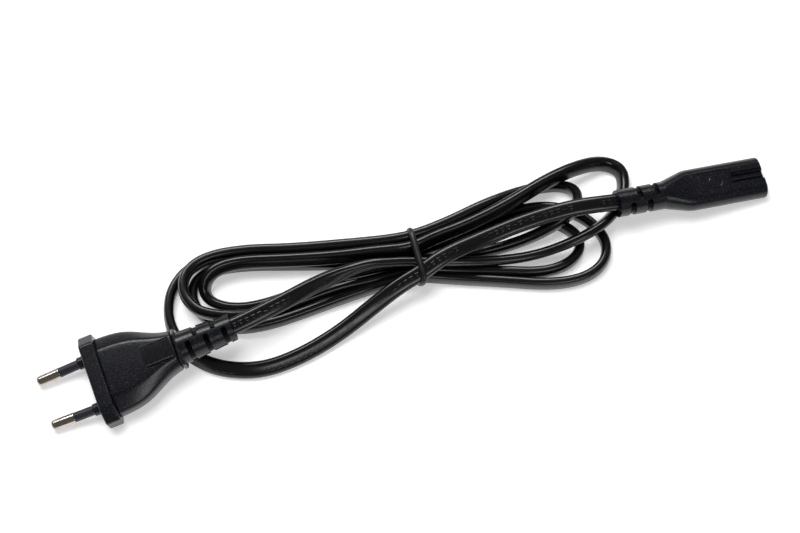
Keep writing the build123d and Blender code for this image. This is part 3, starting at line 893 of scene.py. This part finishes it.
@dataclass
class StrainRelief:
    """A slotted sleeve about the cord where it leaves a moulding.

    The slots lie on alternate sides, each a pitch from the next on its own side. The margin runs
    from the cord's end to the first slot's middle, and a slot ends a bridge short of the middle.
    """

    name: str
    start_x: float
    length: float
    start_radius: float
    end_radius: float
    slots: int
    margin: float
    pitch: float
    width: float
    first_side: int
    roll: float = 0.0
    bridge: float = 0.3 * MM
    wall: float = 0.4 * MM
    notch: float = 0.35 * MM
    edge: float = 0.22 * MM
    slot_round: float = 0.42
    ridge_width: float = 0.35 * MM
    ridge_rise: float = 0.35 * MM
    ridge_edge: float = 0.1 * MM
    ridge_place: float = 0.42
    ridge_length: float = 0.9

    def cutter(self, number: int) -> Workpiece:
        """The tool for one slot.

        Args:
            number: the slot's number, counted from the cord's end.

        Returns:
            The tool, rounded at the slot's end.
        """
        side = self.first_side if number % 2 == 0 else -self.first_side
        x = self.start_x + self.length - self.margin - number * self.pitch / 2
        reach = self.start_radius * 2
        tool = Workpiece.block("slot", (x, side * (self.bridge + reach / 2), 0), (self.width, reach, 2 * reach))
        inner = side * self.bridge
        tool.bevel(lambda co: abs(co.y - inner) < SPECK and abs(co.x - x) > HAIR, self.slot_round * self.width, 4)
        tool.place(Matrix.Rotation(math.radians(self.roll), 4, "X"))
        return tool

    def build(self) -> Workpiece:
        """Make the sleeve with its slots.

        Returns:
            The sleeve.
        """
        sleeve = Workpiece.bar(self.name, self.start_x, self.length, self.start_radius, sides=64)
        ratio = self.end_radius / self.start_radius
        end = self.start_x + self.length
        sleeve.stretch(lambda co: co.x > end - HAIR, (1, ratio, ratio), (end, 0, 0))
        sleeve.cut([self.cutter(number) for number in range(self.slots)])
        sleeve.soften(self.edge, angle=50.0)
        return sleeve

    def core(self) -> Workpiece:
        """Make the flat inside that the slots show, tapered like the sleeve and with two ridges.

        Returns:
            The inside.
        """
        thick = CORD_THICKNESS / 2 + self.wall
        end = self.start_x + self.length
        start = self.start_x + self.wall
        core = Workpiece.bar(f"{self.name}_core", start, self.length - 2 * self.wall, thick, sides=32)
        for side in (1, -1):
            spread = side * (self.start_radius - self.notch - thick)
            core.slide(lambda co: side * co.y > SPECK, (0, spread, 0))
        narrow = (self.end_radius - self.notch) / (self.start_radius - self.notch)
        core.stretch(lambda co: co.x > end - 2 * self.wall, (1, narrow, 1), (end, 0, 0))
        ridges = []
        for side in (1, -1):
            middle = (self.start_x + self.length / 2, side * self.ridge_place * self.end_radius, 0)
            size = (self.ridge_length * self.length, self.ridge_width, 2 * thick + 2 * self.ridge_rise)
            ridge = Workpiece.block("ridge", middle, size)
            ridge.soften(self.ridge_edge)
            ridges.append(ridge)
        core.merge(ridges)
        return core


@dataclass
class PlugDress:
    """The plug's visible mouldings and pins, in the plug's own frame: its face at X 0, its tail at +X."""

    place_x: float = -119.3 * MM
    place_y: float = -7.4 * MM
    turn: float = 1.0
    tilt: float = 10.0
    flange_width: float = 34.6 * MM
    flange_thickness: float = 13.7 * MM
    flange_depth: float = 5.6 * MM
    flange_flat: float = 0.735
    flange_edge: float = 0.7 * MM
    bell_width: float = 30.4 * MM
    bell_thickness: float = 12.2 * MM
    bell_start: float = 5.0 * MM
    bell_first: float = 1.2 * MM
    bell_flat: float = 0.6
    bell_edge: float = 1.1 * MM
    neck_x: float = 32.6 * MM
    lip_length: float = 1.5 * MM
    lip_width: float = 14.6 * MM
    lip_thickness: float = 11.6 * MM
    lip_flat: float = 0.58
    lip_edge: float = 0.5 * MM
    pin_spacing: float = 18.6 * MM
    pin_tip_spacing: float = 17.5 * MM
    pin_length: float = 19.0 * MM
    pin_bare: float = 8.8 * MM
    pin_radius: float = 2.0 * MM
    pin_nose: float = 1.25 * MM
    pin_edge: float = 0.15 * MM
    sleeve_radius: float = 1.8 * MM
    sleeve_gap: float = 0.05 * MM
    collar_length: float = 3.0 * MM
    collar_root: float = 1.0 * MM
    collar_radius: float = 2.3 * MM
    collar_edge: float = 0.5 * MM
    relief_sunk: float = 0.3 * MM
    grip_start_x: float = 20.8 * MM
    grip_length: float = 10.8 * MM
    grip_width: float = 7.6 * MM
    grip_ribs: int = 14
    rib_share: float = 0.48
    rib_flare: float = 1.08
    rib_taper: float = 0.16
    rib_height: float = 0.8 * MM
    rib_sunk: float = 0.1 * MM
    rib_edge: float = 0.12 * MM
    rail_width: float = 0.4 * MM
    rail_height: float = 0.9 * MM
    bed_height: float = 0.7 * MM
    bed_sunk: float = 0.25 * MM
    bed_edge: float = 0.15 * MM
    stations: tuple[tuple[float, float, float], ...] = (
        (11.0, 0.985, 1.0), (16.5, 0.94, 0.985), (21.5, 0.825, 0.985), (26.0, 0.79, 0.98), (29.5, 0.86, 0.97),
        (32.6, 0.93, 0.98),
    )

    def matrix(self) -> Matrix:
        """Where the plug lies."""
        return laid(self.place_x, self.place_y, self.flange_thickness / 2, self.turn, self.tilt)

    def slab(
        self, name: str, start_x: float, length: float, width: float, thickness: float, flat: float
    ) -> Workpiece:
        """An eight-sided slab along X.

        Args:
            name: its name.
            start_x: where it starts.
            length: its length.
            width: across Y.
            thickness: across Z.
            flat: share of the width that the top's flat takes.

        Returns:
            The slab.
        """
        half_side = 22.5
        slab = Workpiece.bar(name, start_x, length, 1.0 * MM, sides=8, spin=half_side)
        reach = math.cos(math.radians(half_side)) * MM
        middle = (start_x, 0, 0)
        slab.stretch(lambda co: True, (1, width / 2 / reach, thickness / 2 / reach), middle)
        narrow = flat / math.tan(math.radians(half_side))
        near_top = 0.45 * thickness
        slab.stretch(lambda co: abs(co.z) > near_top, (1, narrow, 1), middle)
        return slab

    def flange(self) -> Workpiece:
        """The front plate, with a soft rim and the two collars at the pins.

        Returns:
            The plate.
        """
        flange = self.slab(
            "plug_flange", 0.0, self.flange_depth, self.flange_width, self.flange_thickness, self.flange_flat
        )
        flange.soften(self.flange_edge, angle=30.0, segments=3)
        collars = []
        for side in (-1, 1):
            length = self.collar_length + self.collar_root
            collar = Workpiece.bar("collar", -self.collar_length, length, self.collar_radius, sides=40)
            collar.bevel(lambda co: co.x < -self.collar_length + HAIR, self.collar_edge, 3)
            collar.place(Matrix.Translation((0, side * self.pin_spacing / 2, 0)))
            collars.append(collar)
        flange.merge(collars)
        return flange

    def bell(self) -> Workpiece:
        """The body that narrows to the neck, and its raised lip.

        Returns:
            The body.
        """
        start, first = self.bell_start, self.bell_first
        bell = self.slab("plug_bell", start, first, self.bell_width, self.bell_thickness, self.bell_flat)
        bell.draw_out(start + first, [(x * MM, wide, thin) for x, wide, thin in self.stations])
        bell.soften(self.bell_edge, angle=25.0)
        bell.modify("SUBSURF", levels=2, render_levels=2)
        lip = self.slab("lip", self.neck_x, self.lip_length, self.lip_width, self.lip_thickness, self.lip_flat)
        lip.soften(self.lip_edge, angle=30.0, segments=3)
        bell.merge([lip])
        return bell

    def grip(self) -> Workpiece:
        """The fine cross ribs on both broad sides, between two rails.

        Returns:
            The ribs and rails as one piece.
        """
        ribs = []
        pitch = self.grip_length / self.grip_ribs
        for face in (1, -1):
            top = face * (self.bell_thickness / 2 - self.rib_sunk)
            for number in range(self.grip_ribs):
                x = self.grip_start_x + (number + 0.5) * pitch
                width = self.grip_width * (self.rib_flare - self.rib_taper * number / self.grip_ribs)
                rib = Workpiece.block("rib", (x, 0, top), (self.rib_share * pitch, width, self.rib_height))
                rib.soften(self.rib_edge)
                ribs.append(rib)
            for side in (1, -1):
                place = (self.grip_start_x + self.grip_length / 2, side * self.grip_width / 2, top)
                rail = Workpiece.block("rail", place, (self.grip_length, self.rail_width, self.rail_height))
                rail.soften(self.bed_edge)
                ribs.append(rail)
        ribs[0].merge(ribs[1:])
        ribs[0].obj.name = "plug_grip"
        return ribs[0]

    def grip_core(self) -> Workpiece:
        """The bed between the ribs, on both broad sides, which the plug's build dresses darker as painted shade.

        Returns:
            The two beds as one piece.
        """
        beds = []
        for face in (1, -1):
            level = face * (self.bell_thickness / 2 - self.bed_sunk)
            place = (self.grip_start_x + self.grip_length / 2, 0, level)
            bed = Workpiece.block("bed", place, (self.grip_length, self.grip_width, self.bed_height))
            bed.soften(self.bed_edge)
            beds.append(bed)
        beds[0].merge(beds[1:])
        beds[0].obj.name = "plug_grip_core"
        return beds[0]

    def pin(self, side: int) -> tuple[Workpiece, Workpiece]:
        """One pin and its sleeve.

        Args:
            side: -1 or 1.

        Returns:
            The bare pin and the sleeve.
        """
        lean = math.asin((self.pin_spacing - self.pin_tip_spacing) / 2 / self.pin_length)
        stand = Matrix.Translation((0, side * self.pin_spacing / 2, 0)) @ Matrix.Rotation(side * lean, 4, "Z")
        start = self.pin_bare - self.pin_length
        bare = Workpiece.bar("pin_tip", -self.pin_length, self.pin_bare, self.pin_radius, sides=48)
        bare.bevel(lambda co: co.x < -self.pin_length + HAIR, self.pin_nose, 6)
        bare.bevel(lambda co: co.x > start - HAIR, self.pin_edge, 2)
        bare.place(stand)
        sleeve = Workpiece.bar("sleeve", start + self.sleeve_gap, -start, self.sleeve_radius, sides=48)
        sleeve.bevel(lambda co: co.x < start + 2 * self.sleeve_gap, self.pin_edge, 2)
        sleeve.place(stand)
        return bare, sleeve

    def build(self, palette: Palette) -> None:
        """Make and dress every piece of the plug.

        Args:
            palette: the materials.
        """
        relief = StrainRelief(
            name="plug_relief", start_x=self.neck_x + self.lip_length - self.relief_sunk, length=20.2 * MM,
            start_radius=6.1 * MM, end_radius=5.0 * MM, slots=5, margin=2.9 * MM, pitch=6.8 * MM,
            width=1.9 * MM, first_side=-1,
        )
        shade_painted_finish = palette.get("painted_shade_black")
        for piece in (self.flange(), self.bell(), self.grip(), self.grip_core(), relief.build(), relief.core()):
            # The pieces named core, the relief's inside and the grip's bed, take the darker finish: painted shade
            # in the slots and between the ribs.
            finish = shade_painted_finish if piece.obj.name.endswith("core") else palette.get("moulded_black")
            obj = piece.finish(finish, self.matrix())
            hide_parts("plug_body")
            LOG.info("%s: %d faces", obj.name, len(obj.data.polygons))
        for number, side in enumerate((-1, 1), start=1):
            bare, sleeve = self.pin(side)
            tip = bare.finish(palette.get("nickel"), self.matrix())
            tip.name = f"pin_tip_{number}"
            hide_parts(f"plug_pin_{number}")
            cover = sleeve.finish(palette.get("sleeve_black"), self.matrix())
            cover.name = f"sleeve_cover_{number}"
            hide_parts(f"pin_sleeve_{number}")
        LOG.info("plug pins and sleeves")


@dataclass
class ConnectorDress:
    """The figure-8 connector's visible moulding, in its own frame: its face at X 0, its tail at +X."""

    place_x: float = 137.6 * MM
    place_y: float = -9.8 * MM
    turn: float = 176.2
    tilt: float = 10.0
    width: float = 16.0 * MM
    thickness: float = 8.0 * MM
    nose_length: float = 30.0 * MM
    taper_length: float = 9.6 * MM
    tail_radius: float = 5.1 * MM
    relief_sunk: float = 0.4 * MM
    face_edge: float = 0.7 * MM
    shoulder: float = 1.6 * MM
    cut_edge: float = 0.2 * MM
    channel_width: float = 3.2 * MM
    channel_depth: float = 1.7 * MM
    channel_length: float = 13.0 * MM
    channel_edge: float = 0.5 * MM
    step_width: float = 1.6 * MM
    step_depth: float = 0.7 * MM
    rib_start: float = 0.5 * MM
    rib_end_gap: float = 0.9 * MM
    rib_width: float = 0.5 * MM
    rib_height: float = 1.5 * MM
    rib_y: float = 0.35 * MM
    rib_edge: float = 0.16 * MM
    panel_start_x: float = 13.9 * MM
    panel_length: float = 13.2 * MM
    panel_width: float = 8.6 * MM
    panel_depth: float = 0.3 * MM
    ring_x: float = 19.2 * MM
    ring_radius: float = 2.4 * MM
    ring_thickness: float = 0.22 * MM
    plate_x: float = 24.4 * MM
    plate_size: Point = (2.6 * MM, 6.4 * MM, 0.4 * MM)
    plate_edge: float = 0.12 * MM
    insert_width: float = 12.8 * MM
    insert_thickness: float = 4.6 * MM
    insert_depth: float = 16.0 * MM

    def matrix(self) -> Matrix:
        """Where the connector lies."""
        return laid(self.place_x, self.place_y, self.thickness / 2, self.turn, self.tilt)

    def oval_bar(self, name: str, start_x: float, length: float, width: float, thickness: float) -> Workpiece:
        """A bar along X with a flat oval section.

        Args:
            name: its name.
            start_x: where it starts.
            length: its length.
            width: across Y.
            thickness: across Z.

        Returns:
            The bar.
        """
        bar = Workpiece.bar(name, start_x, length, thickness / 2, sides=56)
        spread = (width - thickness) / 2
        bar.slide(lambda co: co.y > SPECK, (0, spread, 0))
        bar.slide(lambda co: co.y < -SPECK, (0, -spread, 0))
        return bar

    def nose(self) -> Workpiece:
        """The flat oval nose and the taper to the round tail.

        Returns:
            The nose, not cut yet.
        """
        nose = self.oval_bar("connector_nose", 0.0, self.nose_length, self.width, self.thickness)
        end = self.nose_length + self.taper_length
        nose.draw_out(self.nose_length, [(end, 1.0, 1.0)])
        spread = (self.width - self.thickness) / 2
        nose.slide(lambda co: co.x > end - HAIR and co.y > SPECK, (0, -spread, 0))
        nose.slide(lambda co: co.x > end - HAIR and co.y < -SPECK, (0, spread, 0))
        grow = self.tail_radius / (self.thickness / 2)
        nose.stretch(lambda co: co.x > end - HAIR, (1, grow, grow), (end, 0, 0))
        nose.bevel(lambda co: co.x < HAIR, self.face_edge, 4)
        nose.bevel(lambda co: abs(co.x - self.nose_length) < HAIR, self.shoulder, 4)
        return nose

    def channel_tools(self) -> list[Workpiece]:
        """What is cut from both broad sides: the channel, its step, and the label field.

        Returns:
            The tools.
        """
        tools = []
        length = self.channel_length
        step = (self.step_depth, self.channel_width + self.step_width)
        for face in (1, -1):
            level = face * self.thickness / 2
            for depth, width in ((self.channel_depth, self.channel_width), step):
                tool = Workpiece.block("channel", (length / 2 - MM / 2, 0, level), (length + MM, width, 2 * depth))
                tool.bevel(
                    lambda co: co.x > length - HAIR and abs(abs(co.z - level) - depth) > HAIR, self.channel_edge, 3
                )
                tools.append(tool)
            middle = self.panel_start_x + self.panel_length / 2
            size = (self.panel_length, self.panel_width, 2 * self.panel_depth)
            tools.append(Workpiece.block("panel", (middle, 0, level), size))
        return tools

    def label_field(self) -> list[Workpiece]:
        """Plain raised shapes on each broad side: a ring and a small plate, and the channel's rib.

        Returns:
            The shapes.
        """
        raised = []
        for face in (1, -1):
            level = face * (self.thickness / 2 - self.panel_depth)
            deselect_all()
            bpy.ops.mesh.primitive_torus_add(
                major_radius=self.ring_radius, minor_radius=self.ring_thickness, major_segments=40, minor_segments=8
            )
            ring = Workpiece(bpy.context.active_object)
            ring.place(Matrix.Translation((self.ring_x, 0, level)))
            plate = Workpiece.block("plate", (self.plate_x, 0, level), self.plate_size)
            plate.soften(self.plate_edge)
            floor = face * (self.thickness / 2 - self.channel_depth)
            start, end = self.rib_start, self.channel_length - self.rib_end_gap
            size = (end - start, self.rib_width, self.rib_height)
            rib = Workpiece.block("rib", ((start + end) / 2, self.rib_y, floor), size)
            rib.soften(self.rib_edge)
            raised += [ring, plate, rib]
        return raised

    def build(self, palette: Palette) -> list[bpy.types.Object]:
        """Make and dress the connector.

        Args:
            palette: the materials.

        Returns:
            The pieces.
        """
        nose = self.nose()
        pocket = self.oval_bar("pocket", -MM, self.insert_depth + MM, self.insert_width, self.insert_thickness)
        nose.cut(self.channel_tools() + [pocket])
        nose.soften(self.cut_edge, angle=40.0)
        nose.merge(self.label_field())
        relief = StrainRelief(
            name="connector_relief", start_x=self.nose_length + self.taper_length - self.relief_sunk,
            length=18.4 * MM, start_radius=self.tail_radius, end_radius=5.0 * MM, slots=4, margin=4.8 * MM,
            pitch=6.6 * MM, width=2.2 * MM, first_side=1, roll=-26.0,
        )
        made = []
        shade_painted_finish = palette.get("painted_shade_black")
        for piece in (nose, relief.build(), relief.core()):
            # The relief's core takes the darker finish: painted shade in the slots.
            finish = shade_painted_finish if piece.obj.name.endswith("core") else palette.get("moulded_black")
            obj = piece.finish(finish, self.matrix())
            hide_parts("connector_body")
            LOG.info("%s: %d faces", obj.name, len(obj.data.polygons))
            made.append(obj)
        return made


@dataclass
class TieBand:
    """The round elastic band that holds the hank, drawn tight about its strands.

    Its near side leans outward toward the top, and its top bows toward the connector.
    """

    diameter: float = 2.35 * MM
    x: float = 5.0 * MM
    middle_z: float = 8.0 * MM
    half_width: float = 9.7 * MM
    half_height: float = 6.95 * MM
    turn: float = -5.0
    lean: float = 0.28
    bow: float = 0.9 * MM
    steps: int = 112
    around: int = 16
    squareness: float = 0.45
    wave: float = 0.2 * MM
    waves: int = 3
    wave_start: float = 0.8
    lowest: float = 0.05 * MM

    def middle(self, step: int) -> Vector:
        """A point of the band's middle line.

        Args:
            step: its number, counted round the band.

        Returns:
            The point, in the row frame.
        """
        angle = 2 * math.pi * step / self.steps
        across, rise = rounded(angle, self.squareness)
        y = across * self.half_width
        if across < 0:
            y *= 1 + self.lean * rise
        turned = Matrix.Rotation(math.radians(self.turn), 3, "Z") @ Vector((0, y, 0))
        sag = self.wave * math.sin(self.waves * angle + self.wave_start) + self.bow * max(0.0, math.sin(angle))
        return Vector((self.x + sag, 0, self.middle_z + rise * self.half_height)) + turned

    def build(self, palette: Palette) -> None:
        """Make the band's closed tube and dress it.

        Args:
            palette: the materials.
        """
        mesh = bmesh.new()
        rings = []
        side = Vector((math.cos(math.radians(self.turn)), math.sin(math.radians(self.turn)), 0))
        for step in range(self.steps):
            here = self.middle(step)
            forward = (self.middle(step + 1) - self.middle(step - 1)).normalized()
            out = forward.cross(side).normalized()
            ring = []
            for part in range(self.around):
                angle = 2 * math.pi * part / self.around
                place = here + (side * math.cos(angle) + out * math.sin(angle)) * self.diameter / 2
                place.z = max(place.z, self.lowest)
                ring.append(mesh.verts.new(place))
            rings.append(ring)
        for near, far in zip(rings, rings[1:] + rings[:1]):
            for part in range(self.around):
                after = (part + 1) % self.around
                mesh.faces.new((near[part], near[after], far[after], far[part]))
        band = smooth_object("elastic_band", mesh, palette.get("band_rubber"))
        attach(band, ROOT)
        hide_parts("tie_band")
        LOG.info("elastic band")


@dataclass(frozen=True)
class Lamp:
    """One soft rectangular lamp that faces the hank.

    A lamp that isn't shiny isn't mirrored by glossy surfaces, and one that isn't plain gives
    matt surfaces no light.
    """

    name: str
    place: Point
    size: tuple[float, float]
    power: float
    shiny: bool = True
    plain: bool = True

    def build(self) -> None:
        """Put the lamp in the scene."""
        lamp = bpy.data.lights.new(self.name, "AREA")
        lamp.shape = "RECTANGLE"
        lamp.size, lamp.size_y = self.size
        lamp.energy = self.power
        obj = bpy.data.objects.new(self.name, lamp)
        obj.location = self.place
        obj.rotation_euler = (-Vector(self.place)).to_track_quat("-Z", "Y").to_euler()
        obj.visible_glossy = self.shiny
        obj.visible_diffuse = self.plain
        bpy.context.scene.collection.objects.link(obj)


@dataclass
class Studio:
    """The table, the lights and the camera."""

    azimuth: float = 19.2
    elevation: float = 68.0
    distance: float = 0.9
    lens: float = 110.2
    sensor_width: float = 36.0
    clip_start: float = 0.01
    target: Point = (0.0, 0.002, 0.0)
    floor_size: float = 6.0
    floor_color: tuple[float, float, float] = (0.8, 0.8, 0.8)
    floor_glow: float = 0.42
    surround: float = 0.12
    lamps: tuple[Lamp, ...] = (
        Lamp("overhead", (-0.13, 0.22, 1.05), (0.6, 0.6), 12.0, shiny=False),
        Lamp("back", (0.05, 0.83, 0.88), (1.2, 0.28), 12.5, plain=False),
        Lamp("front", (0.1, -0.78, 0.72), (0.5, 0.25), 1.8),
    )

    def floor(self) -> None:
        """A plain pale table that keeps the object's shadow."""
        deselect_all()
        bpy.ops.mesh.primitive_plane_add(size=self.floor_size, location=(0, 0, 0))
        table = bpy.context.active_object
        table.name = "table"
        material = bpy.data.materials.new("table")
        material.use_nodes = True
        tree = material.node_tree
        tree.nodes.clear()
        pen = NodeWriter(tree)
        diffuse = pen.add("ShaderNodeBsdfDiffuse", {"Color": (*self.floor_color, 1.0)})
        glow = pen.add("ShaderNodeEmission", {"Color": (1.0, 1.0, 1.0, 1.0), "Strength": self.floor_glow})
        both = pen.add("ShaderNodeAddShader", {0: diffuse.outputs[0], 1: glow.outputs[0]})
        path = pen.add("ShaderNodeLightPath")
        seen = pen.math("MAXIMUM", path.outputs["Is Camera Ray"], path.outputs["Is Glossy Ray"])
        mixed = pen.add("ShaderNodeMixShader", {0: seen, 1: diffuse.outputs[0], 2: both.outputs[0]})
        output = pen.add("ShaderNodeOutputMaterial")
        tree.links.new(mixed.outputs[0], output.inputs["Surface"])
        table.data.materials.append(material)

    def world(self) -> None:
        """An even pale surround."""
        world = bpy.data.worlds.new("surround")
        world.use_nodes = True
        background = world.node_tree.nodes["Background"]
        background.inputs["Color"].default_value = (1.0, 1.0, 1.0, 1.0)
        background.inputs["Strength"].default_value = self.surround
        bpy.context.scene.world = world

    def camera(self) -> None:
        """The camera at the photograph's angle, upright to the image's own axes."""
        turn = math.radians(self.azimuth)
        rise = math.radians(self.elevation)
        level = Vector((math.sin(turn), math.cos(turn), 0))
        forward = level * math.cos(rise) - Vector((0, 0, 1)) * math.sin(rise)
        right = forward.cross(Vector((0, 0, 1))).normalized()
        up = right.cross(forward)
        place = Vector(self.target) - forward * self.distance
        matrix = Matrix((right, up, -forward)).transposed().to_4x4()
        matrix.translation = place
        data = bpy.data.cameras.new("camera")
        data.lens = self.lens
        data.sensor_width = self.sensor_width
        data.clip_start = self.clip_start
        camera = bpy.data.objects.new("camera", data)
        camera.matrix_world = matrix
        bpy.context.scene.collection.objects.link(camera)
        bpy.context.scene.camera = camera

    def build(self) -> None:
        """Set up the whole studio."""
        self.floor()
        self.world()
        for lamp in self.lamps:
            lamp.build()
        self.camera()
        bpy.context.scene.view_settings.view_transform = "Standard"


def main() -> None:
    """Build the scene in order."""
    logging.basicConfig(level=logging.INFO, format="%(name)s: %(message)s")
    palette = Palette()
    palette.dress_frame()
    LOG.info("dressed %d nodes", len(frame["nodes"]))
    Studio().build()
    LOG.info("studio")
    PlugDress().build(palette)
    dressed = ConnectorDress().build(palette)
    TieBand().build(palette)
    maker = Cord()
    cord, line = maker.build(palette)
    maker.declare(cord)
    LOG.info("cord with %d faces", len(cord.data.polygons))


if __name__ == "__main__":
    main()
